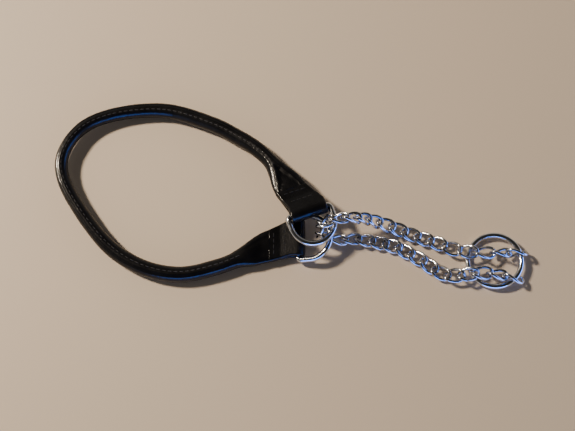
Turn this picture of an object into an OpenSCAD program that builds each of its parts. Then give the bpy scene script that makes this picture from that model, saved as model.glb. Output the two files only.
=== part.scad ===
// Half-check collar: a rolled leather loop whose two flat ends each hold a
// D-ring, and a curb chain that runs through both D-rings and is held together
// by one lead ring. The collar lies flat, with the lead ring towards +X.

/* [Leather] */
// Diameter of the rolled strap
roll_d = 8.2; // [7:0.1:9]
// Diameter of the roll at the far end of the loop, where it is stretched thin
far_roll_d = 6.6; // [6:0.1:8]
// Diameter of the filler cord inside the roll
core_d = 4.4; // [3:0.1:4.8]
// Thickness of one layer of the strap at its flat ends
layer_t = 2.2; // [1.8:0.1:2.3]
// Width of the strap where it folds round a D-ring
tab_w = 19.4; // [17:0.1:19.6]
// Length from a D-ring's bar back to where the roll begins
tab_l = 15; // [13:0.5:17]
// Length over which the roll opens out flat
taper_l = 22; // [16:1:26]

/* [Stitching] */
// Diameter of the sewing thread
thread_d = 0.7; // [0.5:0.05:0.9]
// Stitches in each row across a flat end
tab_stitches = 5; // [3:1:7]

/* [D-rings] */
// Wire diameter of a D-ring
dee_wire_d = 3; // [2.6:0.1:3.2]
// Clear width inside a D-ring
dee_inner_w = 20; // [20:0.1:21]
// Straight length of each leg
dee_leg = 6; // [5:0.1:7]

/* [Chain] */
// Wire diameter of a curb link
wire_d = 1.7; // [1.6:0.05:1.75]
// Outer length of a link
link_l = 12.2; // [12:0.1:12.4]
// Outer width of a link
link_w = 8; // [7.6:0.1:8.2]
// Twist at each end of a link, in degrees
link_twist = 45; // [40:1:50]
// Play between two links pulled straight
link_play = 0.25; // [0.2:0.05:0.35]

/* [Lead ring] */
// Outer diameter of the lead ring
ring_d = 30; // [29:0.5:31]
// Wire diameter of the lead ring
ring_wire_d = 2.8; // [2.6:0.1:2.9]

/* [Hidden] */
// The origin is under the middle of the whole collar.
centre = [-1.24, 0.08, -0.04];

// ---- Rings and links -------------------------------------------------------
dee_half = (dee_inner_w + dee_wire_d) / 2; // centreline of a leg from the middle
dee_bend = 2;                              // centreline radius of the two corners
bar_play = 0.15;
fold_r = dee_wire_d / 2 + bar_play + layer_t;
crest_l = 9;                               // behind the bar, where the fold has closed

link_a = (link_l - wire_d) / 2;
link_b = (link_w - wire_d) / 2;
link_square = 2.3;  // 2 is an ellipse, more is squarer
link_rings = 24;
wire_sides = 8;
taut_pitch = 2 * link_a - wire_d - link_play;
slack_pitch = 7.2;  // between links that lie pushed together

// ---- Places of the D-rings: bar centre, heading and rise towards the arc ---
upper_bar = [9, -11.9, 12.4];
upper_heading = -71;
upper_rise = 0;
lower_bar = [3.5, -24.3, 3.9];
lower_heading = 0;
lower_rise = 17.5;

// ---- The flat ends: how far each rises, leans aside and narrows ------------
upper_tab_rise = 12;
upper_skew = -4.4;
lower_tab_rise = 0;
lower_skew = -4.2;
tab_back_w = 17;

// ---- Course of the roll's centreline between the two flat ends -------------
roll_route = [
    [-9.5, 15.5, 6.6], [-18, 24.5, 5.4], [-29, 32, 4.6], [-43, 39.5, 4.2], [-67, 47, 4.2],
    [-92, 45.5, 4.8], [-111, 37.5, 5.8], [-121, 22.5, 6.4], [-120, 7, 6.2], [-108, -13, 5.2], [-93, -30, 4.4],
    [-76, -40, 4.2], [-57, -43.5, 4.2], [-38, -39.5, 4.2], [-23, -33.5, 4.2]
];
route_steps = 5;
roll_sides = 12;

// ---- Course of the chain: yaw, pitch and roll of each link, outwards from --
// ---- the link in the middle of the turn to the lead ring -------------------
middle_centre = [14.9, -21.4, 10.9];
middle_lean = 23;
upper_course = [
    [19, 37, -38], [5, 3, -40], [4, -21, -34], [6, -35, -24], [-5, -36, -14],
    [-15, -20, -6], [-19, -14, 0], [-19, -6, 0], [-18, 0, 0], [-20, 3, 0],
    [-24, 16, 0], [-8, 6, 0], [-1, -2, -24], [1, -6, -58], [-1, -2, -91]
];
lower_course = [
    [-14, -36, -36], [-5, -2, -39], [4, -3, -30], [-8, -2, -20], [-13, 0, -10],
    [-16, 0, 0], [-30, 0, 0], [-30, 0, 0], [-38, 0, 0], [-28, 8, 0],
    [-4, 20, 0], [8, 4, 0], [2, -5, -12], [-6, -9, -41], [-14, -4, -71]
];
// From these links on, the chain is pulled tight over the lead ring.
upper_taut_from = 10;
lower_taut_from = 13;
strand_links = len(upper_course);
link_count = 2 * strand_links + 1;

// ---- Place of the lead ring -------------------------------------------------
ring_centre = [105.3, -36, 3.2];
ring_tilt = 7;

// ---- Vectors ----------------------------------------------------------------
function unit(v) = v / norm(v);
function heading_dir(yaw, rise) = [cos(rise) * cos(yaw), cos(rise) * sin(yaw), sin(rise)];
function mix(a, b, t) = a + (b - a) * t;
function smooth(t) = let (c = min(1, max(0, t))) c * c * (3 - 2 * c);
function signed_power(v, e) = sign(v) * pow(abs(v), e);
function rolled(side, up, angle) = side * cos(angle) + up * sin(angle);

// A frame is [x, y, z, origin]: three unit axes and a place.
function frame_at(origin, dir, lateral, roll) =
    let (x = unit(dir), z0 = unit(cross(x, lateral)), y0 = cross(z0, x))
    let (y = rolled(y0, z0, roll))
    [x, y, cross(x, y), origin];
module in_frame(f) {
    multmatrix([
        [f[0][0], f[1][0], f[2][0], f[3][0]],
        [f[0][1], f[1][1], f[2][1], f[3][1]],
        [f[0][2], f[1][2], f[2][2], f[3][2]],
        [0, 0, 0, 1]
    ]) children();
}

// ---- Frames of the D-rings, the flat ends and the lead ring ------------------
function dee_frame(bar, heading, rise) =
    frame_at(bar, heading_dir(heading, rise), [-sin(heading), cos(heading), 0], 0);
upper_dee = dee_frame(upper_bar, upper_heading, upper_rise);
lower_dee = dee_frame(lower_bar, lower_heading, lower_rise);
upper_tab = dee_frame(upper_bar, upper_heading, upper_tab_rise);
lower_tab = dee_frame(lower_bar, lower_heading, lower_tab_rise);
lead = frame_at(ring_centre, heading_dir(0, ring_tilt), [0, 1, 0], 0);

function tab_back(tab, skew) = tab[3] - tab[0] * tab_l + tab[1] * skew;

// ---- Sweeps -------------------------------------------------------------------
// rings is a list of closed loops of points, each loop of the same length.
function joined(lists) = [for (l = lists) each l];
function band(first, second, sides, flip) = joined([
    for (i = [0:sides - 1])
        let (j = (i + 1) % sides)
        let (a = first + i, b = first + j, c = second + j, d = second + i)
        flip ? [[a, b, c], [a, c, d]] : [[a, c, b], [a, d, c]]
]);
function tube_faces(count, sides, base, flip) = joined([
    for (k = [0:count - 2]) band(base + k * sides, base + (k + 1) * sides, sides, flip)
]);

// Closed solid with flat ends.
module solid_tube(rings) {
    sides = len(rings[0]);
    last = (len(rings) - 1) * sides;
    polyhedron(
        points = joined(rings),
        faces = concat(
            tube_faces(len(rings), sides, 0, false),
            [[for (i = [0:sides - 1]) i]],
            [[for (i = [sides - 1:-1:0]) last + i]]
        )
    );
}

// Solid between an outer and an inner run of rings, open right through.
module hollow_tube(outer, inner) {
    sides = len(outer[0]);
    count = len(outer);
    base = count * sides;
    last = (count - 1) * sides;
    polyhedron(
        points = concat(joined(outer), joined(inner)),
        faces = concat(
            tube_faces(count, sides, 0, false),
            tube_faces(count, sides, base, true),
            band(0, base, sides, true),
            band(last, base + last, sides, false)
        )
    );
}

// Solid ring, swept round until it meets itself.
module closed_tube(rings) {
    sides = len(rings[0]);
    polyhedron(
        points = joined(rings),
        faces = concat(
            tube_faces(len(rings), sides, 0, false),
            band((len(rings) - 1) * sides, 0, sides, false)
        )
    );
}

// ---- Course of the roll ---------------------------------------------------------
function spline_point(p0, p1, p2, p3, t) =
    0.5 * (2 * p1 + (p2 - p0) * t + (2 * p0 - 5 * p1 + 4 * p2 - p3) * t * t
        + (3 * p1 - p0 - 3 * p2 + p3) * t * t * t);
upper_back = tab_back(upper_tab, upper_skew);
lower_back = tab_back(lower_tab, lower_skew);
roll_knots = concat([upper_back], roll_route, [lower_back]);
// One more knot beyond each end sets the direction in which the roll sets out.
lead_in = 14;
guided = concat([upper_back + upper_tab[0] * lead_in], roll_knots, [lower_back + lower_tab[0] * lead_in]);
centreline = concat(
    [
        for (k = [1:len(roll_knots) - 1], s = [0:route_steps - 1])
            spline_point(guided[k - 1], guided[k], guided[k + 1], guided[k + 2], s / route_steps)
    ],
    [lower_back]
);
steps = len(centreline);

function along(i) = unit(centreline[min(i + 1, steps - 1)] - centreline[max(i - 1, 0)]);
function level_side(t) = unit(cross([0, 0, 1], t));
// 1 at a flat end, 0 where the strap is fully rolled
function flatness(i) =
    1 - smooth(min(norm(centreline[i] - upper_back), norm(centreline[i] - lower_back)) / taper_l);
// The strap's side turns from square across its course to square across the tab.
function strap_side(i) =
    let (tab_side = i < steps / 2 ? -upper_tab[1] : lower_tab[1])
    unit(mix(level_side(along(i)), tab_side, flatness(i)));
function strap_up(i) =
    let (tab_up = i < steps / 2 ? upper_tab[2] : lower_tab[2])
    unit(mix(cross(along(i), strap_side(i)), tab_up, flatness(i)));
function section(i, half_w, half_h, squareness) = [
    for (k = [0:roll_sides - 1])
        let (a = 360 * (k + 0.5) / roll_sides, e = 2 / squareness)
        centreline[i] + strap_side(i) * half_w * signed_power(cos(a), e)
            + strap_up(i) * half_h * signed_power(sin(a), e)
];
// The roll and its filler thin out towards the far end of the loop.
far_end = roll_route[7];
thin_reach = 80;
function thinning(i) = 1 - smooth(norm(centreline[i] - far_end) / thin_reach);
function roll_r(i) = mix(roll_d, far_roll_d, thinning(i)) / 2;
function core_r(i) = core_d / roll_d * roll_r(i);
function outer_section(i) =
    let (f = flatness(i))
    section(i, mix(roll_r(i), tab_back_w / 2, f), mix(roll_r(i), layer_t, f), mix(2, 4, f));
cavity_play = 0.1;
slit = 0.3;
function inner_section(i) =
    let (f = flatness(i), r = core_r(i) + cavity_play)
    section(i, mix(r, tab_back_w / 4, f), mix(r, slit, f), 2);
function core_section(i) = section(i, core_r(i), core_r(i), 2);
fully_rolled = 0.02;   // flatness below which the filler cord fits
core_range = [for (i = [0:steps - 1]) if (flatness(i) < fully_rolled) i];

// The seam runs along the top of the roll, a little towards the inside.
seam_angle = 95;
seam_opens = 0.2;      // flatness at which the seam ends
seam_range = [for (i = [0:steps - 1]) if (flatness(i) < seam_opens) i];
seam_sides = 5;
seam_play = 0.02;      // between the thread and the leather
seam_rise = 1.5;       // of one layer, where the strap is half open
function seam_section(i) =
    let (up = strap_side(i) * -cos(seam_angle) + strap_up(i) * sin(seam_angle))
    let (side = cross(up, along(i)))
    let (surface = mix(roll_r(i), layer_t * seam_rise, flatness(i)))
    let (middle = centreline[i] + up * (surface + thread_d / 2 + seam_play))
    [
        for (k = [0:seam_sides - 1])
            let (a = 360 * k / seam_sides + 90)
            middle + (side * cos(a) + up * sin(a)) * thread_d / 2
    ];

module leather_roll() {
    color("#17181c")
    translate(centre * -1)
    hollow_tube([for (i = [0:steps - 1]) outer_section(i)], [for (i = [0:steps - 1]) inner_section(i)]);
}

module core_cord() {
    color("#d8d0be")
    translate(centre * -1)
    solid_tube([for (i = core_range) core_section(i)]);
}

module seam_thread() {
    color("#2a2c31")
    translate(centre * -1)
    solid_tube([for (i = seam_range) seam_section(i)]);
}

// ---- Flat ends ---------------------------------------------------------------------
stitch_margin = 3.6;   // from the edge at the bar to the outermost hole
hole_play = 0.1;       // round the thread in its hole
thread_play = 0.05;    // between the thread and the leather
stitch_rows = [-7, -12.5];
function stitch_y(n) = (n / (tab_stitches - 1) - 0.5) * (tab_w - 2 * stitch_margin);

// The fold in section, x along the strap and y through its thickness.
module fold_profile() {
    circle(r = fold_r, $fn = 64);
    polygon([
        [0, fold_r], [-crest_l, layer_t], [-tab_l, layer_t],
        [-tab_l, -layer_t], [-crest_l, -layer_t], [0, -fold_r]
    ]);
}

// The end in plan, x towards the D-ring.
module tab_outline(skew) {
    polygon([
        [fold_r + 1, tab_w / 2], [-fold_r, tab_w / 2], [-tab_l, skew + tab_back_w / 2],
        [-tab_l, skew - tab_back_w / 2], [-fold_r, -tab_w / 2], [fold_r + 1, -tab_w / 2]
    ]);
}

module tab(skew) {
    hole_d = thread_d + 2 * hole_play;
    difference() {
        intersection() {
            rotate([90, 0, 0]) linear_extrude(2 * tab_w, center = true) fold_profile();
            linear_extrude(4 * fold_r, center = true) tab_outline(skew);
        }
        rotate([90, 0, 0]) cylinder(d = dee_wire_d + 2 * bar_play, h = 2 * tab_w, center = true, $fn = 48);
        for (x = stitch_rows, n = [0:tab_stitches - 1])
            translate([x, stitch_y(n) + skew * x / -tab_l, 0])
            cylinder(d = hole_d, h = 4 * fold_r, center = true, $fn = 16);
    }
}

// Half the tab's thickness at a row of stitches
function half_t(x) = x < -crest_l ? layer_t : mix(fold_r, layer_t, -x / crest_l);

// One row of thread: a leg through each hole, joined above and below.
module stitch_row(x, skew) {
    top = half_t(x) + thread_d / 2 + thread_play;
    step = stitch_y(1) - stitch_y(0);
    translate([x, skew * x / -tab_l, 0]) {
        for (n = [0:tab_stitches - 1])
            translate([0, stitch_y(n), 0]) cylinder(d = thread_d, h = 2 * top, center = true, $fn = 16);
        for (n = [0:tab_stitches - 1], z = [-top, top])
            translate([0, stitch_y(n), z]) sphere(d = thread_d, $fn = 16);
        for (n = [0:tab_stitches - 2], z = [-top, top])
            translate([0, stitch_y(n), z]) rotate([-90, 0, 0]) cylinder(d = thread_d, h = step, $fn = 16);
    }
}

module tab_upper() {
    color("#17181c") translate(centre * -1) in_frame(upper_tab) tab(upper_skew);
}

module tab_lower() {
    color("#17181c") translate(centre * -1) in_frame(lower_tab) tab(lower_skew);
}

module tab_thread_upper() {
    color("#2a2c31") translate(centre * -1) in_frame(upper_tab)
    for (x = stitch_rows) stitch_row(x, upper_skew);
}

module tab_thread_lower() {
    color("#2a2c31") translate(centre * -1) in_frame(lower_tab)
    for (x = stitch_rows) stitch_row(x, lower_skew);
}

// ---- D-rings --------------------------------------------------------------------------
module dee() {
    straight = dee_half - dee_bend;
    rotate([90, 0, 0]) cylinder(d = dee_wire_d, h = 2 * straight, center = true, $fn = 48);
    for (side = [-1, 1]) scale([1, side, 1]) {
        translate([dee_bend, straight, 0]) rotate([0, 0, 90])
        rotate_extrude(angle = 90, $fn = 64) translate([dee_bend, 0]) circle(d = dee_wire_d, $fn = 48);
        translate([dee_bend, dee_half, 0]) rotate([0, 90, 0])
        cylinder(d = dee_wire_d, h = dee_leg - dee_bend, $fn = 48);
    }
    translate([dee_leg, 0, 0]) rotate([0, 0, -90])
    rotate_extrude(angle = 180, $fn = 96) translate([dee_half, 0]) circle(d = dee_wire_d, $fn = 48);
}

module d_ring_upper() {
    color("#c9ced6") translate(centre * -1) in_frame(upper_dee) dee();
}

module d_ring_lower() {
    color("#c9ced6") translate(centre * -1) in_frame(lower_dee) dee();
}

// ---- Chain ---------------------------------------------------------------------------------
// A link's wire follows an oval that is twisted about its long axis.
function twist_at(x) = link_twist * x / link_a;
function link_point(u) =
    let (x = link_a * signed_power(cos(u), 2 / link_square))
    let (y = link_b * signed_power(sin(u), 2 / link_square))
    [x, y * cos(twist_at(x)), y * sin(twist_at(x))];
function link_section(u) =
    let (p = link_point(u), t = unit(link_point(u + 1) - link_point(u - 1)))
    let (flat_up = [0, -sin(twist_at(p[0])), cos(twist_at(p[0]))])
    let (side = unit(cross(flat_up, t)))
    let (up = cross(t, side))
    [
        for (k = [0:wire_sides - 1])
            let (a = 360 * (k + 0.5) / wire_sides)
            p + (side * cos(a) + up * sin(a)) * wire_d / 2
    ];
module link() {
    closed_tube([for (k = [0:link_rings - 1]) link_section(360 * (k + 0.5) / link_rings)]);
}

// Each link's place follows from the one before it, end to end.
function link_pitch(k, taut_from) = k < taut_from ? slack_pitch : taut_pitch;
function course_end(start, course, taut_from, k) =
    k < 0 ? start
    : course_end(start, course, taut_from, k - 1)
        + heading_dir(course[k][0], course[k][1]) * link_pitch(k, taut_from);
middle_dir = [0, -sin(middle_lean), -cos(middle_lean)];
upper_start = middle_centre - middle_dir * slack_pitch / 2;
lower_start = middle_centre + middle_dir * slack_pitch / 2;
function strand_frame(start, course, taut_from, k) =
    let (yaw = course[k][0], dir = heading_dir(yaw, course[k][1]))
    let (middle = course_end(start, course, taut_from, k - 1) + dir * link_pitch(k, taut_from) / 2)
    frame_at(middle, dir, [-sin(yaw), cos(yaw), 0], course[k][2]);
link_frames = [
    for (i = [0:link_count - 1])
        i < strand_links ? strand_frame(upper_start, upper_course, upper_taut_from, strand_links - 1 - i)
        : i == strand_links ? frame_at(middle_centre, middle_dir, [0, 1, 0], 0)
        : strand_frame(lower_start, lower_course, lower_taut_from, i - strand_links - 1)
];

module chain_link(i) {
    color("#c9ced6") translate(centre * -1) in_frame(link_frames[i]) link();
}

// ---- Lead ring ---------------------------------------------------------------------------------
module lead_ring() {
    color("#c9ced6") translate(centre * -1) in_frame(lead)
    rotate_extrude($fn = 96) translate([(ring_d - ring_wire_d) / 2, 0]) circle(d = ring_wire_d, $fn = 48);
}

function link_name(i) = str("chain_link_", i < 9 ? "0" : "", i + 1);
LINKS = [for (i = [0:link_count - 1]) link_name(i)];

leather_roll();
core_cord();
seam_thread();
tab_upper();
tab_lower();
tab_thread_upper();
tab_thread_lower();
d_ring_upper();
d_ring_lower();
lead_ring();
for (i = [0:link_count - 1]) chain_link(i);
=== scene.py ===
"""Looks of the half-check collar: rolled leather, folded tabs, rings and a twisted curb chain."""
import math

import bpy
import numpy as np
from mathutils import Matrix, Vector, noise

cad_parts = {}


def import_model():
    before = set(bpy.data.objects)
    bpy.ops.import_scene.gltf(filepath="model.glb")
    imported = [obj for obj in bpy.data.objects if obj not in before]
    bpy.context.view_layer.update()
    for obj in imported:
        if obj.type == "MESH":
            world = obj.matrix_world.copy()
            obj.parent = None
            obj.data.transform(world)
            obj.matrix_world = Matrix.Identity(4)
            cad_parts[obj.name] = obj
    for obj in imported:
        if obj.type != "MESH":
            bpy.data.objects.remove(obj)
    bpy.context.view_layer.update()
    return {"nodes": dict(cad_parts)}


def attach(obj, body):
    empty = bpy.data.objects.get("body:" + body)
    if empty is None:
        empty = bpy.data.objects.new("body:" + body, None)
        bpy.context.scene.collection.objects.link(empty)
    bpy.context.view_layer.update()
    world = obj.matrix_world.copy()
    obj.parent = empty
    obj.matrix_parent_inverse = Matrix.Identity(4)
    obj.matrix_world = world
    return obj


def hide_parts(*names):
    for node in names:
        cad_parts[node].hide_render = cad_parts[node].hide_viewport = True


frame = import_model()

# ---- Sizes and places, in millimetres, as in the CAD source -------------------------------
MM = 0.001
CENTRE = np.array([-1.24, 0.08, -0.04])

ROLL_D = 8.2
FAR_ROLL_D = 6.6
CORE_D = 4.4
CAVITY_PLAY = 0.1
LAYER_T = 2.2
TAB_W = 19.4
TAB_BACK_W = 17
TAB_L = 15
CREST_L = 9
TAPER_L = 22
THREAD_D = 0.7

DEE_WIRE_D = 3
DEE_INNER_W = 20
DEE_LEG = 6
DEE_BEND = 2
BAR_PLAY = 0.15

RING_D = 30
RING_WIRE_D = 2.8
RING_CENTRE = np.array([105.3, -36, 3.2])
RING_TILT = 7

WIRE_D = 1.7
SHOWN_WIRE_D = 1.62  # the round wire that lies within the CAD links' eight-sided one
LINK_A = (12.2 - WIRE_D) / 2
LINK_B = (8 - WIRE_D) / 2
LINK_TWIST = 45
LINK_SQUARE = 2.3

UPPER_BAR = np.array([9, -11.9, 12.4])
LOWER_BAR = np.array([3.5, -24.3, 3.9])
UPPER_HEADING = -71
LOWER_HEADING = 0
UPPER_DEE_RISE = 0
LOWER_DEE_RISE = 17.5
UPPER_TAB_RISE = 12
LOWER_TAB_RISE = 0
UPPER_SKEW = -4.4
LOWER_SKEW = -4.2

# Route of the roll's centreline between the two flat ends
ROLL_ROUTE = [
    [-9.5, 15.5, 6.6], [-18, 24.5, 5.4], [-29, 32, 4.6], [-43, 39.5, 4.2], [-67, 47, 4.2],
    [-92, 45.5, 4.8], [-111, 37.5, 5.8], [-121, 22.5, 6.4], [-120, 7, 6.2], [-108, -13, 5.2],
    [-93, -30, 4.4], [-76, -40, 4.2], [-57, -43.5, 4.2], [-38, -39.5, 4.2], [-23, -33.5, 4.2],
]
FAR_KNOT = 7
THIN_REACH = 80
LEAD_IN = 14

# ---- Camera ---------------------------------------------------------------------------------
CAMERA_PLACE = np.array([-1.855, -134.79, 432.57])
CAMERA_TARGET = np.array([-1.855, -10.75, 0])
CAMERA_LENS = 53.2
SENSOR_WIDTH = 36


# ---- Vectors and curves ---------------------------------------------------------------------
def unit(v):
    return v / np.linalg.norm(v)


def smooth(t):
    c = np.clip(t, 0, 1)
    return c * c * (3 - 2 * c)


def mix(a, b, t):
    return a + (b - a) * t


def bump(t, width):
    """1 at t = 0, falling to nothing a few widths away."""
    return np.exp(-((t / width) ** 2))


def signed_power(v, e):
    return np.sign(v) * np.abs(v) ** e


def direction(heading, rise):
    h, r = math.radians(heading), math.radians(rise)
    return np.array([math.cos(r) * math.cos(h), math.cos(r) * math.sin(h), math.sin(r)])


class Place:
    """Three unit axes and an origin, in millimetres, before the collar is centred."""

    def __init__(self, origin, heading, rise):
        h = math.radians(heading)
        self.o = origin
        self.x = direction(heading, rise)
        self.y = np.array([-math.sin(h), math.cos(h), 0])
        self.z = np.cross(self.x, self.y)

    def at(self, points):
        points = np.asarray(points, float)
        return self.o + points[..., :1] * self.x + points[..., 1:2] * self.y + points[..., 2:] * self.z


UPPER_TAB = Place(UPPER_BAR, UPPER_HEADING, UPPER_TAB_RISE)
LOWER_TAB = Place(LOWER_BAR, LOWER_HEADING, LOWER_TAB_RISE)
UPPER_DEE = Place(UPPER_BAR, UPPER_HEADING, UPPER_DEE_RISE)
LOWER_DEE = Place(LOWER_BAR, LOWER_HEADING, LOWER_DEE_RISE)
LEAD = Place(RING_CENTRE, 0, RING_TILT)


def spline(knots, per_span):
    """Smooth curve through all but the first and last knot."""
    knots = np.asarray(knots, float)
    t = np.linspace(0, 1, per_span, endpoint=False)[:, None]
    runs = []
    for p0, p1, p2, p3 in zip(knots, knots[1:], knots[2:], knots[3:]):
        runs.append(0.5 * (2 * p1 + (p2 - p0) * t + (2 * p0 - 5 * p1 + 4 * p2 - p3) * t**2
                           + (3 * p1 - p0 - 3 * p2 + p3) * t**3))
    return np.concatenate(runs + [knots[-2:-1]])


def tangents(path, closed=False):
    if closed:
        d = np.roll(path, -1, axis=0) - np.roll(path, 1, axis=0)
    else:
        d = np.gradient(path, axis=0)
    return d / np.linalg.norm(d, axis=1)[:, None]


def arc_length(path):
    return np.concatenate([[0], np.cumsum(np.linalg.norm(np.diff(path, axis=0), axis=1))])


NOISE_STEPS = (17.3, 5.1, 9.7)   # how far apart two seeds' noises lie


def wander(points, scale, seed):
    """Smooth noise from -1 to 1 at each point; scale is the size of a lump in millimetres."""
    shift = Vector([seed * step for step in NOISE_STEPS])
    flat = np.asarray(points, float).reshape(-1, 3)
    values = [noise.noise(Vector(p) / scale + shift) for p in flat]
    return np.array(values).reshape(np.asarray(points).shape[:-1])


# ---- Meshes ---------------------------------------------------------------------------------
END_DOME = 0.4       # height of a thread's domed end, as a part of its radius


def band(first, second, sides, flip):
    i = np.arange(sides)
    j = (i + 1) % sides
    quads = np.stack([first + i, second + i, second + j, first + j], axis=1)
    return quads[:, ::-1].tolist() if flip else quads.tolist()


def tube_faces(count, sides, closed=False, base=0, flip=False):
    """Quads between the rings of a tube; flip turns every face over."""
    faces = []
    for k in range(count if closed else count - 1):
        faces += band(base + k * sides, base + (k + 1) % count * sides, sides, flip)
    return faces


def cap(base, sides, centre_index, flip):
    """Triangles from one ring to a point in its middle."""
    faces = []
    for i in range(sides):
        a, b = base + i, base + (i + 1) % sides
        faces.append([centre_index, b, a] if flip else [centre_index, a, b])
    return faces


def make_piece(name, points, faces, material, body, replaces=()):
    """A smooth-shaded piece from points in millimetres, riding on a CAD body."""
    mesh = bpy.data.meshes.new(name)
    place = (np.asarray(points, float) - CENTRE) * MM
    mesh.from_pydata(place.tolist(), [], faces)
    mesh.validate()
    mesh.polygons.foreach_set("use_smooth", [True] * len(mesh.polygons))
    mesh.materials.append(material)
    mesh.update()
    piece = bpy.data.objects.new(name, mesh)
    bpy.context.scene.collection.objects.link(piece)
    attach(piece, body)
    if replaces:
        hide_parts(*replaces)
    return piece


def closed_tube(rings):
    """Points and faces of a tube whose last ring joins its first."""
    count, sides = rings.shape[:2]
    return rings.reshape(-1, 3), tube_faces(count, sides, closed=True)


def capped_tube(rings):
    """Closed solid with a slightly domed end at each side."""
    count, sides = rings.shape[:2]
    points = rings.reshape(-1, 3)
    reach = np.linalg.norm(rings[0, 0] - rings[0].mean(axis=0)) * END_DOME
    start = rings[0].mean(axis=0) + unit(rings[0].mean(axis=0) - rings[1].mean(axis=0)) * reach
    end = rings[-1].mean(axis=0) + unit(rings[-1].mean(axis=0) - rings[-2].mean(axis=0)) * reach
    points = np.concatenate([points, [start, end]])
    total = count * sides
    faces = tube_faces(count, sides) + cap(0, sides, total, False)
    faces += cap((count - 1) * sides, sides, total + 1, True)
    return points, faces


def joined(parts):
    """One point list and one face list from many."""
    points, faces, base = [], [], 0
    for p, f in parts:
        points.append(np.asarray(p))
        faces += [[base + i for i in face] for face in f]
        base += len(p)
    return np.concatenate(points), faces


def round_rings(path, radius, sides, closed, up):
    """Circles of a given radius along a path, each square to it."""
    t = tangents(path, closed)
    side = np.cross(up, t)
    side /= np.linalg.norm(side, axis=1)[:, None]
    top = np.cross(t, side)
    a = 2 * math.pi * np.arange(sides) / sides
    radius = np.broadcast_to(radius, (len(path),))[:, None, None]
    ring = side[:, None, :] * np.cos(a)[None, :, None] + top[:, None, :] * np.sin(a)[None, :, None]
    return path[:, None, :] + ring * radius


# ---- Materials ------------------------------------------------------------------------------
def new_material(name, colour, roughness, metallic=0.0):
    material = bpy.data.materials.new(name)
    material.use_nodes = True
    nodes = material.node_tree.nodes
    shader = nodes["Principled BSDF"]
    shader.inputs["Base Color"].default_value = (*colour, 1)
    shader.inputs["Roughness"].default_value = roughness
    shader.inputs["Metallic"].default_value = metallic
    return material, nodes, material.node_tree.links, shader


def noise_node(nodes, links, scale, detail, coords):
    node = nodes.new("ShaderNodeTexNoise")
    node.inputs["Scale"].default_value = scale
    node.inputs["Detail"].default_value = detail
    links.new(coords.outputs["Object"], node.inputs["Vector"])
    return node


def ramp_node(nodes, links, source, stops):
    node = nodes.new("ShaderNodeValToRGB")
    node.color_ramp.elements[0].position = stops[0][0]
    node.color_ramp.elements[0].color = (*stops[0][1], 1)
    node.color_ramp.elements[1].position = stops[-1][0]
    node.color_ramp.elements[1].color = (*stops[-1][1], 1)
    for position, colour in stops[1:-1]:
        element = node.color_ramp.elements.new(position)
        element.color = (*colour, 1)
    links.new(source, node.inputs["Fac"])
    return node


def range_node(nodes, links, source, low, high):
    node = nodes.new("ShaderNodeMapRange")
    node.inputs["To Min"].default_value = low
    node.inputs["To Max"].default_value = high
    links.new(source, node.inputs["Value"])
    return node


def bump_node(nodes, links, height, distance, strength, below=None):
    node = nodes.new("ShaderNodeBump")
    node.inputs["Distance"].default_value = distance
    node.inputs["Strength"].default_value = strength
    links.new(height, node.inputs["Height"])
    if below:
        links.new(below.outputs["Normal"], node.inputs["Normal"])
    return node


def leather_material():
    """Glossy black strap leather: fine pebble grain, long creases, rubbed spots."""
    material, nodes, links, shader = new_material("black_leather", (0.012, 0.012, 0.014), 0.3)
    shader.inputs["Coat Weight"].default_value = 0.55
    shader.inputs["Coat Roughness"].default_value = 0.15
    shader.inputs["Specular IOR Level"].default_value = 0.2
    coords = nodes.new("ShaderNodeTexCoord")
    tone = noise_node(nodes, links, 90, 4, coords)
    colour = ramp_node(nodes, links, tone.outputs["Fac"], [
        (0.3, (0.004, 0.004, 0.005)), (0.55, (0.008, 0.008, 0.010)), (0.75, (0.016, 0.016, 0.016)),
    ])
    links.new(colour.outputs["Color"], shader.inputs["Base Color"])
    wear = noise_node(nodes, links, 260, 6, coords)
    rough = range_node(nodes, links, wear.outputs["Fac"], 0.3, 0.55)
    links.new(rough.outputs["Result"], shader.inputs["Roughness"])
    pebble = nodes.new("ShaderNodeTexVoronoi")
    pebble.feature = "SMOOTH_F1"
    pebble.inputs["Scale"].default_value = 1500
    links.new(coords.outputs["Object"], pebble.inputs["Vector"])
    crease = noise_node(nodes, links, 420, 5, coords)
    first = bump_node(nodes, links, crease.outputs["Fac"], 0.00025, 0.35)
    second = bump_node(nodes, links, pebble.outputs["Distance"], 0.00012, 0.45, first)
    links.new(second.outputs["Normal"], shader.inputs["Normal"])
    links.new(second.outputs["Normal"], shader.inputs["Coat Normal"])
    return material


def metal_material(name, tint, grime):
    """Bright plated steel with faint ripples, rubbed patches and darker patches at random."""
    material, nodes, links, shader = new_material(name, tint, 0.12, 1.0)
    coords = nodes.new("ShaderNodeTexCoord")
    patch = noise_node(nodes, links, 240, 5, coords)
    dark = tuple(c * grime for c in tint)
    colour = ramp_node(nodes, links, patch.outputs["Fac"], [(0.3, dark), (0.5, tint), (0.8, tint)])
    links.new(colour.outputs["Color"], shader.inputs["Base Color"])
    rubbed = noise_node(nodes, links, 900, 6, coords)
    rough = range_node(nodes, links, rubbed.outputs["Fac"], 0.05, 0.26)
    links.new(rough.outputs["Result"], shader.inputs["Roughness"])
    ripple = noise_node(nodes, links, 520, 3, coords)
    bumped = bump_node(nodes, links, ripple.outputs["Fac"], 0.0001, 0.25)
    links.new(bumped.outputs["Normal"], shader.inputs["Normal"])
    return material


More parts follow.
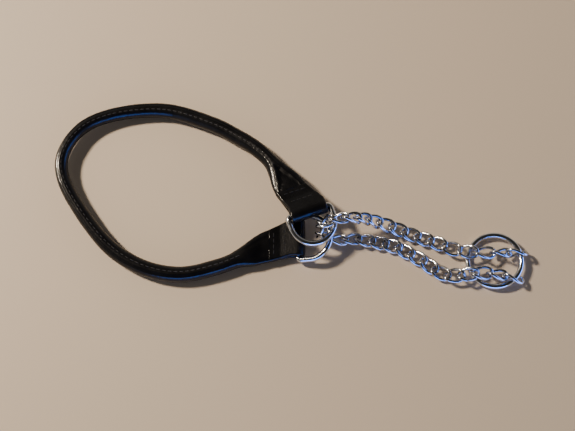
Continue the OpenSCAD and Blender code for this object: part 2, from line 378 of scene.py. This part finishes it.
def thread_material(name, low, high):
    """Waxed sewing thread, mottled and slightly fuzzy."""
    material, nodes, links, shader = new_material(name, high, 0.7)
    shader.inputs["Sheen Weight"].default_value = 0.1
    coords = nodes.new("ShaderNodeTexCoord")
    mottle = noise_node(nodes, links, 1800, 4, coords)
    colour = ramp_node(nodes, links, mottle.outputs["Fac"], [(0.3, low), (0.7, high)])
    links.new(colour.outputs["Color"], shader.inputs["Base Color"])
    fibre = noise_node(nodes, links, 5200, 2, coords)
    bumped = bump_node(nodes, links, fibre.outputs["Fac"], 0.0001, 0.6)
    links.new(bumped.outputs["Normal"], shader.inputs["Normal"])
    return material


LEATHER = leather_material()
DEE_METAL = metal_material("d_ring_metal", (0.68, 0.69, 0.71), 0.72)
LEAD_METAL = metal_material("lead_ring_metal", (0.70, 0.71, 0.73), 0.8)
CHAIN_METAL = metal_material("chain_metal", (0.58, 0.59, 0.62), 0.5)
SEAM_THREAD = thread_material("seam_thread", (0.02, 0.02, 0.022), (0.10, 0.098, 0.095))
TAB_THREAD = thread_material("tab_thread", (0.008, 0.008, 0.009), (0.03, 0.03, 0.032))
FILLER = thread_material("filler_cord", (0.42, 0.37, 0.29), (0.66, 0.61, 0.50))


# ---- The roll -------------------------------------------------------------------------------
ROLL_STEPS = 60      # rings for each span of the route
ROLL_SIDES = 60
CAVITY_STRIDE = 10   # the hidden inner wall needs fewer rings
END_LAP = 0.5        # how far the roll's ends run on over the tabs' backs
END_ROUND = 0.08     # rounding of their edges
COVER = 0.08         # how far they stand over the tabs' faces there
STITCH_PITCH = 3.0
STITCH_GAP = 0.9
SEAM_STITCH_R = 0.24
SEAM_ANGLE = 100     # of the stitches, from the outer side over the top
LIP_ANGLE = 62       # of the strap's overlapping edge
APEX = 33            # from the D-ring's bar back to the point where the roll closes
ROUND = 2            # squareness of the rolled section
BOXY = 4             # and of the flat one
FULLY_ROLLED = 0.02
SEAM_OPENS = 0.2     # the flatness at which the long seam stops
SEAM_DEPTH = 0.2     # how deep the stitches start
SEAM_RISE = 0.16
LIP_H = 0.30
LIP_FADE = 26        # in degrees
LIP_LINE = 0.18      # depth of the line beside the lip
SEAM_CHANNEL = 0.12
STITCH_PULL = 0.06   # how far each stitch draws the leather in
CREASE_SIZE = 7
CREASE_H = 0.08
CREASE_SEED = 3
PUCKER_SIZE = 2.2
PUCKER_H = 0.03
PUCKER_SEED = 4
UPRIGHT_SHRINK = 1.6 # the creases are longer along the floor than up
CAVITY_END_H = 0.3   # half height left of the cavity in the flat ends
TAIL_SINK = 0.75     # how far the tail drops between the two lips
TAIL_GROOVE = 0.40
TAIL_STEP = 0.30
LEFT_LIP_H = 0.20
RIGHT_LIP_H = 0.22
TAIL_RIDGE = 0.09
FOLD_DEPTH = 0.22

FILLER_STRANDS = 3
FILLER_LAY = 14      # length in which a strand goes once round
FILLER_STRIDE = 6    # the hidden cord needs fewer rings
FILLER_SIDES = 10
STRAND_OFFSET = 0.5  # of a strand's middle from the cord's, as a part of the cord's radius
STRAND_R = 0.46      # its radius, as a part of the cord's radius

upper_back = UPPER_TAB.at([-TAB_L, UPPER_SKEW, 0])
lower_back = LOWER_TAB.at([-TAB_L, LOWER_SKEW, 0])
roll_knots = [upper_back, *ROLL_ROUTE, lower_back]
course = spline([upper_back + UPPER_TAB.x * LEAD_IN, *roll_knots, lower_back + LOWER_TAB.x * LEAD_IN],
                ROLL_STEPS)
laps = np.array([[END_LAP], [END_LAP - END_ROUND]])
course = np.concatenate([upper_back + UPPER_TAB.x * laps, course, lower_back + LOWER_TAB.x * laps[::-1]])


class Roll:
    """The roll's course with its thickness and the directions across it at each ring."""

    def __init__(self, path):
        self.path = path
        self.s = arc_length(path)
        self.along = tangents(path)
        self.from_upper = np.linalg.norm(path - upper_back, axis=1)
        self.from_lower = np.linalg.norm(path - lower_back, axis=1)
        self.flat = 1 - smooth(np.minimum(self.from_upper, self.from_lower) / TAPER_L)
        near_upper = (np.arange(len(path)) < len(path) / 2)[:, None]
        level = np.cross([0, 0, 1], self.along)
        level /= np.linalg.norm(level, axis=1)[:, None]
        tab_side = np.where(near_upper, -UPPER_TAB.y, LOWER_TAB.y)
        tab_up = np.where(near_upper, UPPER_TAB.z, LOWER_TAB.z)
        f = self.flat[:, None]
        self.side = mix(level, tab_side, f)
        self.side /= np.linalg.norm(self.side, axis=1)[:, None]
        self.up = mix(np.cross(self.along, self.side), tab_up, f)
        self.up /= np.linalg.norm(self.up, axis=1)[:, None]
        thin = 1 - smooth(np.linalg.norm(path - np.array(ROLL_ROUTE[FAR_KNOT]), axis=1) / THIN_REACH)
        self.r = mix(ROLL_D, FAR_ROLL_D, thin) / 2

    def place(self, across, height):
        return (self.path[:, None, :] + across[..., None] * self.side[:, None, :]
                + height[..., None] * self.up[:, None, :])


roll = Roll(course)


def sections(half_w, half_h, squareness):
    """Distances across and up round each ring's section, and the angles of its points."""
    a = 2 * math.pi * (np.arange(ROLL_SIDES) + 0.5) / ROLL_SIDES
    e = (2 / squareness)[:, None]
    across = half_w[:, None] * signed_power(np.cos(a)[None, :], e)
    height = half_h[:, None] * signed_power(np.sin(a)[None, :], e)
    return across, height, a


def angle_gap(a, target):
    return (np.degrees(a) - target + 180) % 360 - 180


def roll_relief(a):
    """How far the outer surface stands out (in millimetres) at each ring and angle."""
    # The strap's side points inwards round the loop, so the outside is at 180 degrees.
    rolled = 1 - smooth(roll.flat * 2.5)
    lip = angle_gap(a, 180 - LIP_ANGLE)[None, :]
    step = smooth((lip + 2) / 5) * np.exp(-np.clip(lip, 0, None) / LIP_FADE) * LIP_H
    lip_line = -LIP_LINE * bump(lip + 2.5, 3.0)
    seam = angle_gap(a, 180 - SEAM_ANGLE)[None, :]
    channel = -SEAM_CHANNEL * bump(seam, 8)
    phase = np.cos(2 * math.pi * roll.s / STITCH_PITCH)[:, None]
    pull = -STITCH_PULL * (0.5 + 0.5 * phase) * bump(seam, 14)
    return rolled[:, None] * (step + lip_line + channel + pull)


def tail_edges(d):
    """Where the upper tab's folded tail ends at each side, as parts of the half width.

    d is the distance back from the D-ring's bar. The tail tapers to a point at APEX.
    """
    spread = smooth((APEX - d) / (APEX - TAB_L)) ** 0.75
    left = -0.50 * spread
    right = 0.50 * spread + 0.6 * smooth((20 - d) / 12)
    return left, right


def tail_relief(s, d):
    """Height of the upper tab's top face: a tail between two lips, over s across and d back."""
    left, right = tail_edges(d)
    inside = smooth((s - left) / 0.04) * smooth((right - s) / 0.04)
    sunk = -TAIL_SINK * smooth((d - TAB_L - 3) / 10) * smooth((APEX + 1 - d) / 3)
    groove = -TAIL_GROOVE * (bump(s - left, 0.035) + bump(s - right, 0.035))
    beside = -TAIL_STEP * smooth((left - s) / 0.04) * smooth((TAB_L + 2 - d) / 6)
    left_lip = LEFT_LIP_H * bump(s - left + 0.16, 0.12) * smooth((d - 3) / 6)
    right_lip = RIGHT_LIP_H * bump(s - right - 0.12, 0.10) * smooth((d - 12) / 5)
    ridge = TAIL_RIDGE * np.cos(s * 24 + 0.6) * inside * smooth((d - 12) / 8)
    reach = smooth((APEX + 3 - d) / 5) * smooth((d - 1.5) / 2.5)
    return reach * (inside * sunk + groove + beside + left_lip + right_lip + ridge)


def opened_relief(a, across, half_w):
    """The open throat near the upper tab: two lips part round the tapered tail."""
    near = (roll.from_upper < roll.from_lower)[:, None]
    top = smooth(np.sin(a) * 2.5)[None, :]
    s = across / half_w[:, None]
    return np.where(near, top * tail_relief(s, roll.from_upper[:, None] + TAB_L), 0)


def lower_relief(a, across, half_w):
    """Near the lower tab the strap's top is pressed flat, with a shallow fold either side."""
    d = roll.from_lower[:, None]
    near = (roll.from_lower < roll.from_upper)[:, None]
    s = across / half_w[:, None]
    top = smooth(np.sin(a) * 2.5)[None, :]
    folds = -FOLD_DEPTH * (bump(s - 0.5, 0.1) + bump(s + 0.45, 0.12)) * smooth((TAPER_L - d) / 10)
    return np.where(near, top * folds, 0)


def leather_roll_piece():
    f = roll.flat
    half_w = mix(roll.r, TAB_BACK_W / 2, f)
    half_h = mix(roll.r, LAYER_T, f)
    half_h = half_h + COVER * smooth((f - 0.9) * 10)
    half_w[[0, -1]] -= 2 * END_ROUND
    half_h[[0, -1]] -= 2 * END_ROUND
    across, height, a = sections(half_w, half_h, mix(ROUND, BOXY, f))
    outer = roll.place(across, height)
    out = outer - roll.path[:, None, :]
    out /= np.linalg.norm(out, axis=2)[..., None]
    up_only = roll.up[:, None, :] * np.ones(outer.shape)
    creases = wander(outer * np.array([1, 1, UPRIGHT_SHRINK]), CREASE_SIZE, CREASE_SEED) * CREASE_H
    creases += wander(outer, PUCKER_SIZE, PUCKER_SEED) * PUCKER_H
    relief = roll_relief(a) + creases
    throat = opened_relief(a, across, half_w) + lower_relief(a, across, half_w)
    outer = outer + out * relief[..., None] + up_only * throat[..., None]
    cavity_r = CORE_D / ROLL_D * roll.r + CAVITY_PLAY
    inner_w = mix(cavity_r, TAB_BACK_W / 4, f)
    inner_h = mix(cavity_r, CAVITY_END_H, f)
    across, height, _ = sections(inner_w, inner_h, np.full(len(f), float(ROUND)))
    keep = np.unique(np.append(np.arange(0, len(f), CAVITY_STRIDE), len(f) - 1))
    inner = roll.place(across, height)[keep]
    count, inner_count = len(outer), len(inner)
    base = count * ROLL_SIDES
    points = np.concatenate([outer.reshape(-1, 3), inner.reshape(-1, 3)])
    faces = tube_faces(count, ROLL_SIDES, flip=True)
    faces += tube_faces(inner_count, ROLL_SIDES, base=base)
    faces += band(0, base, ROLL_SIDES, False)
    faces += band(base - ROLL_SIDES, base + (inner_count - 1) * ROLL_SIDES, ROLL_SIDES, True)
    make_piece("leather_roll_skin", points, faces, LEATHER, "collar", ["leather_roll"])


def filler_cord_piece():
    """Three strands twisted round each other inside the roll."""
    keep = np.flatnonzero(roll.flat < FULLY_ROLLED)[::FILLER_STRIDE]
    path, side, up, r, s = (v[keep] for v in (roll.path, roll.side, roll.up, roll.r, roll.s))
    core_r = CORE_D / ROLL_D * r
    strands = []
    for k in range(FILLER_STRANDS):
        turn = 2 * math.pi * (s / FILLER_LAY + k / FILLER_STRANDS)
        offset = side * np.cos(turn)[:, None] + up * np.sin(turn)[:, None]
        strand = path + offset * core_r[:, None] * STRAND_OFFSET
        strands.append(capped_tube(round_rings(strand, core_r * STRAND_R, FILLER_SIDES, False, [0, 0, 1])))
    points, faces = joined(strands)
    make_piece("filler_cord_strands", points, faces, FILLER, "collar", ["core_cord"])


def arched_stitch(start, end, up, radius, rise, sides=8, count=9):
    """One stitch: a thread that comes up at one hole and goes down at the next."""
    t = np.linspace(0, 1, count)[:, None]
    lift = (np.sin(math.pi * t) ** 0.5) * rise
    path = start + (end - start) * t + up * (lift - rise * 0.75)
    thick = radius * (0.75 + 0.25 * np.sin(math.pi * t[:, 0]))
    return capped_tube(round_rings(path, thick, sides, False, up))


def seam_stitches_piece():
    angle = math.radians(180 - SEAM_ANGLE)
    first = np.argmax(roll.flat < SEAM_OPENS)
    last = len(roll.flat) - 1 - np.argmax(roll.flat[::-1] < SEAM_OPENS)
    stitches = []
    place = roll.s[first]
    while place + STITCH_PITCH < roll.s[last]:
        ends = []
        for s in (place + STITCH_GAP / 2, place + STITCH_PITCH - STITCH_GAP / 2):
            i = int(np.argmin(np.abs(roll.s - s)))
            out = roll.side[i] * math.cos(angle) + roll.up[i] * math.sin(angle)
            ends.append((roll.path[i] + out * (roll.r[i] - SEAM_DEPTH), out))
        stitches.append(arched_stitch(ends[0][0], ends[1][0], ends[0][1], SEAM_STITCH_R, SEAM_RISE))
        place += STITCH_PITCH
    points, faces = joined(stitches)
    make_piece("seam_stitches", points, faces, SEAM_THREAD, "collar", ["seam_thread"])


# ---- The folded tabs --------------------------------------------------------------------------
FOLD_MID_R = DEE_WIRE_D / 2 + BAR_PLAY + LAYER_T / 2
FOLD_R = FOLD_MID_R + LAYER_T / 2
STITCH_ROWS = [-7, -12.5]
STITCH_MARGIN = 3.6
TAB_STITCHES = 5
TAIL_CUT = 10        # the lower tab's folded end stops this far behind the bar
CUT_H = 0.34         # the step down at that end
CUT_CORNER_H = 0.10
CUT_CORNER_AT = 0.82 # of the half width
RUN_ON = 0.3         # how far the strap's under side runs on behind the tab
UNDER_STEPS = 14
RAMP_STEPS = 20
NOSE_STEPS = 48
TOP_STEPS = 24
SOFTENING = 6        # passes that ease the fold's changes of direction
STRAP_COLUMNS = 33
STRAP_CORNER = 0.9
CORNER_POINTS = 5
DIMPLE_H = 0.14      # how far a row of stitches sinks the leather
DIMPLE_W = 0.7
WEAR_SIZE = 3.5
WEAR_H = 0.05
WEAR_SEED = 7
TAB_THREAD_R = THREAD_D / 2 * 0.85
TAB_STITCH_GAP = 0.06
TAB_STITCH_DEPTH = 0.15
TAB_STITCH_RISE = 0.3


def fold_path():
    """Middle of the strap in side view: under the bar, round it and back over the top."""
    half = LAYER_T / 2
    reach = math.hypot(CREST_L, half)
    touch = math.pi - math.atan2(half, CREST_L) - math.acos(FOLD_MID_R / reach)
    run = np.linspace(-TAB_L - RUN_ON, -CREST_L, UNDER_STEPS, endpoint=False)
    ramp = np.linspace(0, 1, RAMP_STEPS, endpoint=False)
    turn = np.linspace(-touch, touch, NOSE_STEPS)
    touch_x, touch_z = FOLD_MID_R * math.cos(touch), FOLD_MID_R * math.sin(touch)
    under = [np.stack([run, np.full(UNDER_STEPS, -half)], 1)]
    under.append(np.stack([mix(-CREST_L, touch_x, ramp), mix(-half, -touch_z, ramp)], 1))
    nose = np.stack([FOLD_MID_R * np.cos(turn), FOLD_MID_R * np.sin(turn)], 1)
    top = np.linspace(-CREST_L, -TAB_L, TOP_STEPS)
    over = [np.stack([mix(touch_x, -CREST_L, ramp), mix(touch_z, half, ramp)], 1)[1:]]
    over.append(np.stack([top, np.full(TOP_STEPS, half)], 1))
    path = np.concatenate(under + [nose] + over)
    for _ in range(SOFTENING):
        path[1:-1] = path[1:-1] * 0.5 + (path[:-2] + path[2:]) * 0.25
    return path


def strap_section(half_w):
    """Points round the flat strap's section, starting at its outer face."""
    half_t = LAYER_T / 2
    y_top = np.linspace(half_w - STRAP_CORNER, -half_w + STRAP_CORNER, STRAP_COLUMNS)
    outer = np.stack([y_top, np.full(STRAP_COLUMNS, half_t)], 1)
    a = np.radians(np.linspace(90, 270, 2 * CORNER_POINTS + 1)[1:-1])
    shape = signed_power(np.sin(a), 0.9)
    left = np.stack([-half_w + STRAP_CORNER + STRAP_CORNER * np.cos(a), half_t * shape], 1)
    inner = np.stack([y_top[::-1], np.full(STRAP_COLUMNS, -half_t)], 1)
    right = -left
    return np.concatenate([outer, left, inner, right])


def tab_centre(x, skew):
    return skew * np.clip((-x - FOLD_R) / (TAB_L - FOLD_R), 0, 1)


def tab_half_w(x):
    return mix(TAB_W, TAB_BACK_W, np.clip((-x - FOLD_R) / (TAB_L - FOLD_R), 0, 1)) / 2


def cut_relief(s, d):
    """The lower tab's tail is cut square: a step down across the strap, with soft corners."""
    corners = bump(s - CUT_CORNER_AT, 0.08) + bump(s + CUT_CORNER_AT, 0.08)
    step = CUT_H * smooth((d - TAIL_CUT) / 0.5) * smooth((TAB_L + 0.5 - d) / 4)
    return -step - CUT_CORNER_H * corners * bump(d - TAIL_CUT, 1)


def tab_piece(name, place, skew, node, relief):
    path = fold_path()
    t = tangents(np.insert(path, 1, 0, axis=1))
    normal = np.cross(t, [0, 1, 0])
    rings = []
    for k, ((x, z), n) in enumerate(zip(path, normal)):
        half_w = float(tab_half_w(x))
        section = strap_section(half_w)
        y = section[:, 0]
        on_outer = np.arange(len(section)) < STRAP_COLUMNS
        over = k > len(path) / 2
        lift = np.zeros(len(section))
        if over:
            dimple = sum(bump(x - row, DIMPLE_W) for row in STITCH_ROWS)
            lift -= DIMPLE_H * dimple * bump(y, half_w * 0.75) * on_outer
            lift += relief(-y / half_w, -x) * on_outer
        spots = np.stack([np.full(len(y), x), y, np.full(len(y), z)], 1)
        wear = WEAR_H * wander(spots, WEAR_SIZE, WEAR_SEED)
        offset = section[:, 1] + lift + wear * on_outer
        centre_y = float(tab_centre(x, skew))
        rings.append(np.stack([x + n[0] * offset, y + centre_y, z + n[2] * offset], 1))
    rings = np.array([place.at(r) for r in rings])
    points, faces = flat_ended(rings)
    make_piece(name, points, faces, LEATHER, "collar", [node])


def flat_ended(rings):
    """Closed strip with a flat end at each side, filled across its width."""
    count, sides = rings.shape[:2]
    faces = tube_faces(count, sides)
    half = sides // 2
    for base, flip in ((0, False), ((count - 1) * sides, True)):
        for i in range(half - 1):
            quad = [base + i, base + i + 1, base + (sides - 2 - i) % sides, base + (sides - 1 - i) % sides]
            faces.append(quad[::-1] if flip else quad)
    return rings.reshape(-1, 3), faces


def stitch_y(n):
    return (n / (TAB_STITCHES - 1) - 0.5) * (TAB_W - 2 * STITCH_MARGIN)


def half_thickness(x):
    return LAYER_T if x < -CREST_L else mix(FOLD_R, LAYER_T, -x / CREST_L)


def tab_stitches_piece(name, place, skew, node):
    stitches = []
    for row in STITCH_ROWS:
        centre_y = float(tab_centre(row, skew))
        for face in (-1, 1):
            height = face * (half_thickness(row) - TAB_STITCH_DEPTH)
            for n in range(TAB_STITCHES - 1):
                across = [stitch_y(m) + centre_y for m in (n + TAB_STITCH_GAP, n + 1 - TAB_STITCH_GAP)]
                start, end = place.at([[row, y, height] for y in across])
                up = place.z * face
                stitches.append(arched_stitch(start, end, up, TAB_THREAD_R, TAB_STITCH_RISE))
    points, faces = joined(stitches)
    make_piece(name, points, faces, TAB_THREAD, "collar", [node])


# ---- Rings ------------------------------------------------------------------------------------
WIRE_SIDES = 24
BAR_STEPS = 40
BEND_STEPS = 12
LEG_STEPS = 8
BOW_STEPS = 48
RING_STEPS = 144
RING_WELD_ANGLE = 118


def dee_path():
    """Centreline of a D-ring in its own plane: bar, corner, leg, arc, leg, corner."""
    half = (DEE_INNER_W + DEE_WIRE_D) / 2
    straight = half - DEE_BEND
    bar = [[0, y] for y in np.linspace(-straight, straight, BAR_STEPS, endpoint=False)]
    corner = np.radians(np.linspace(180, 90, BEND_STEPS, endpoint=False))
    first = [[DEE_BEND + DEE_BEND * math.cos(a), straight + DEE_BEND * math.sin(a)] for a in corner]
    leg = [[x, half] for x in np.linspace(DEE_BEND, DEE_LEG, LEG_STEPS, endpoint=False)]
    arc = np.radians(np.linspace(90, 0, BOW_STEPS, endpoint=False))
    bow = [[DEE_LEG + half * math.cos(a), half * math.sin(a)] for a in arc]
    side = np.array(first + leg + bow)
    mirrored = side[::-1] * [1, -1]
    tip = [[DEE_LEG + half, 0]]
    return np.concatenate([bar, side, tip, mirrored])


def dee_piece(name, place, body, node):
    flat = dee_path()
    path = place.at(np.column_stack([flat, np.zeros(len(flat))]))
    # The wire's ends meet under the leather, in a low weld.
    swell = 1 + 0.05 * bump(flat[:, 1], 0.7) * (flat[:, 0] < 0.1)
    rings = round_rings(path, DEE_WIRE_D / 2 * swell, WIRE_SIDES, True, place.z)
    points, faces = closed_tube(rings)
    make_piece(name, points, faces, DEE_METAL, body, [node])


def lead_ring_piece():
    a = 2 * math.pi * np.arange(RING_STEPS) / RING_STEPS
    r = (RING_D - RING_WIRE_D) / 2
    path = LEAD.at(np.stack([r * np.cos(a), r * np.sin(a), np.zeros(RING_STEPS)], 1))
    gap = (a - math.radians(RING_WELD_ANGLE) + math.pi) % (2 * math.pi) - math.pi
    swell = 1 - 0.035 * bump(gap * r, 0.35) + 0.02 * bump(gap * r, 1.2)
    rings = round_rings(path, RING_WIRE_D / 2 * swell, WIRE_SIDES, True, LEAD.z)
    points, faces = closed_tube(rings)
    make_piece("lead_ring_wire", points, faces, LEAD_METAL, "lead_ring", ["lead_ring"])


# ---- Chain ------------------------------------------------------------------------------------
LINK_RINGS = 96
LINK_SIDES = 16
LINK_WELD_ANGLE = 90


def link_shape():
    """Rings of one link's wire round a twisted oval, with the low bead of its weld."""
    u = 2 * math.pi * np.arange(LINK_RINGS) / LINK_RINGS

    def oval(u):
        x = LINK_A * signed_power(np.cos(u), 2 / LINK_SQUARE)
        y = LINK_B * signed_power(np.sin(u), 2 / LINK_SQUARE)
        twist = np.radians(LINK_TWIST) * x / LINK_A
        return np.stack([x, y * np.cos(twist), y * np.sin(twist)], 1), twist

    path, twist = oval(u)
    flat_up = np.stack([np.zeros(LINK_RINGS), -np.sin(twist), np.cos(twist)], 1)
    t = oval(u + 0.01)[0] - oval(u - 0.01)[0]
    t /= np.linalg.norm(t, axis=1)[:, None]
    side = np.cross(flat_up, t)
    side /= np.linalg.norm(side, axis=1)[:, None]
    up = np.cross(t, side)
    a = 2 * math.pi * np.arange(LINK_SIDES) / LINK_SIDES
    gap = np.degrees(u) - LINK_WELD_ANGLE
    swell = 1 + 0.05 * bump(gap, 7) - 0.05 * bump(gap, 2.2)
    ring = side[:, None, :] * np.cos(a)[None, :, None] + up[:, None, :] * np.sin(a)[None, :, None]
    return path[:, None, :] + ring * (SHOWN_WIRE_D / 2 * swell)[:, None, None]


def own_axes(node):
    """Middle and axes (in millimetres, not centred) of a shape with three two-fold axes."""
    count = len(node.data.vertices)
    co = np.zeros(count * 3, np.float32)
    node.data.vertices.foreach_get("co", co)
    points = np.unique(np.round(co.reshape(-1, 3).astype(float) / MM, 3), axis=0)
    middle = (points.max(axis=0) + points.min(axis=0)) / 2
    spread = points - points.mean(axis=0)
    vectors = np.linalg.eigh(spread.T @ spread)[1]
    x, y = vectors[:, 2], vectors[:, 1]
    return middle + CENTRE, x, y, np.cross(x, y)


def chain_pieces():
    shape = link_shape()
    for name in sorted(n for n in frame["nodes"] if n.startswith("chain_link_")):
        origin, x, y, z = own_axes(frame["nodes"][name])
        rings = origin + shape[..., :1] * x + shape[..., 1:2] * y + shape[..., 2:] * z
        points, faces = closed_tube(rings)
        make_piece(name + "_wire", points, faces, CHAIN_METAL, name, [name])


# ---- Stage, in metres -------------------------------------------------------------------------
FLOOR_W = 3.2
COOL_BLUE = (0.07, 0.26, 1.0)
WINDOW = (1.40, 0.60)


def floor():
    mesh = bpy.data.meshes.new("floor")
    half = FLOOR_W / 2
    corners = [(-half, -half, 0), (half, -half, 0), (half, half, 0), (-half, half, 0)]
    mesh.from_pydata(corners, [], [(0, 1, 2, 3)])
    material, nodes, links, shader = new_material("pale_floor", (0.78, 0.68, 0.57), 0.6)
    mesh.materials.append(material)
    piece = bpy.data.objects.new("floor", mesh)
    bpy.context.scene.collection.objects.link(piece)


def area_light(name, place, target, size, power, colour):
    """A rectangular lamp; size is its width and height in metres."""
    data = bpy.data.lights.new(name, "AREA")
    data.shape = "RECTANGLE"
    data.size, data.size_y = size
    data.energy = power
    data.color = colour
    lamp = bpy.data.objects.new(name, data)
    lamp.location = place
    aim = Vector(target) - Vector(place)
    lamp.rotation_euler = aim.to_track_quat("-Z", "Y").to_euler()
    bpy.context.scene.collection.objects.link(lamp)
    return lamp


def lights():
    area_light("warm_key", (-0.84, 0.35, 0.92), (0, 0, 0), (0.16, 0.16), 14, (1.0, 0.86, 0.70))
    south = area_light("cool_south", (0.10, -1.25, 0.34), (0, 0, 0), WINDOW, 13, COOL_BLUE)
    east = area_light("cool_east", (1.25, -0.05, 0.34), (0, 0, 0), WINDOW, 10, COOL_BLUE)
    # The windows show as reflections and leave the floor's shadows grey.
    for window in (south, east):
        window.visible_diffuse = False


def world():
    scene_world = bpy.data.worlds.new("studio")
    bpy.context.scene.world = scene_world
    scene_world.use_nodes = True
    nodes, links = scene_world.node_tree.nodes, scene_world.node_tree.links
    coords = nodes.new("ShaderNodeTexCoord")
    parts = nodes.new("ShaderNodeSeparateXYZ")
    links.new(coords.outputs["Generated"], parts.inputs["Vector"])
    # A dark ceiling over brighter walls gives the plated metal its contrast.
    sky = ramp_node(nodes, links, parts.outputs["Z"], [
        (0.0, (0.56, 0.54, 0.50)), (0.35, (0.36, 0.34, 0.31)), (0.75, (0.04, 0.038, 0.036)),
    ])
    background = nodes["Background"]
    links.new(sky.outputs["Color"], background.inputs["Color"])
    background.inputs["Strength"].default_value = 0.95


def camera():
    data = bpy.data.cameras.new("camera")
    data.lens = CAMERA_LENS
    data.sensor_width = SENSOR_WIDTH
    data.clip_start = 0.01
    piece = bpy.data.objects.new("camera", data)
    place = Vector((CAMERA_PLACE - CENTRE) * MM)
    target = Vector((CAMERA_TARGET - CENTRE) * MM)
    piece.location = place
    piece.rotation_euler = (target - place).to_track_quat("-Z", "Y").to_euler()
    bpy.context.scene.collection.objects.link(piece)
    bpy.context.scene.camera = piece


bpy.context.scene.view_settings.look = "AgX - Medium High Contrast"
camera()
floor()
lights()
world()
leather_roll_piece()
filler_cord_piece()
seam_stitches_piece()
tab_piece("tab_upper_strap", UPPER_TAB, UPPER_SKEW, "tab_upper", tail_relief)
tab_piece("tab_lower_strap", LOWER_TAB, LOWER_SKEW, "tab_lower", cut_relief)
tab_stitches_piece("tab_upper_stitches", UPPER_TAB, UPPER_SKEW, "tab_thread_upper")
tab_stitches_piece("tab_lower_stitches", LOWER_TAB, LOWER_SKEW, "tab_thread_lower")
dee_piece("d_ring_upper_wire", UPPER_DEE, "upper_d_ring", "d_ring_upper")
dee_piece("d_ring_lower_wire", LOWER_DEE, "lower_d_ring", "d_ring_lower")
lead_ring_piece()
chain_pieces()
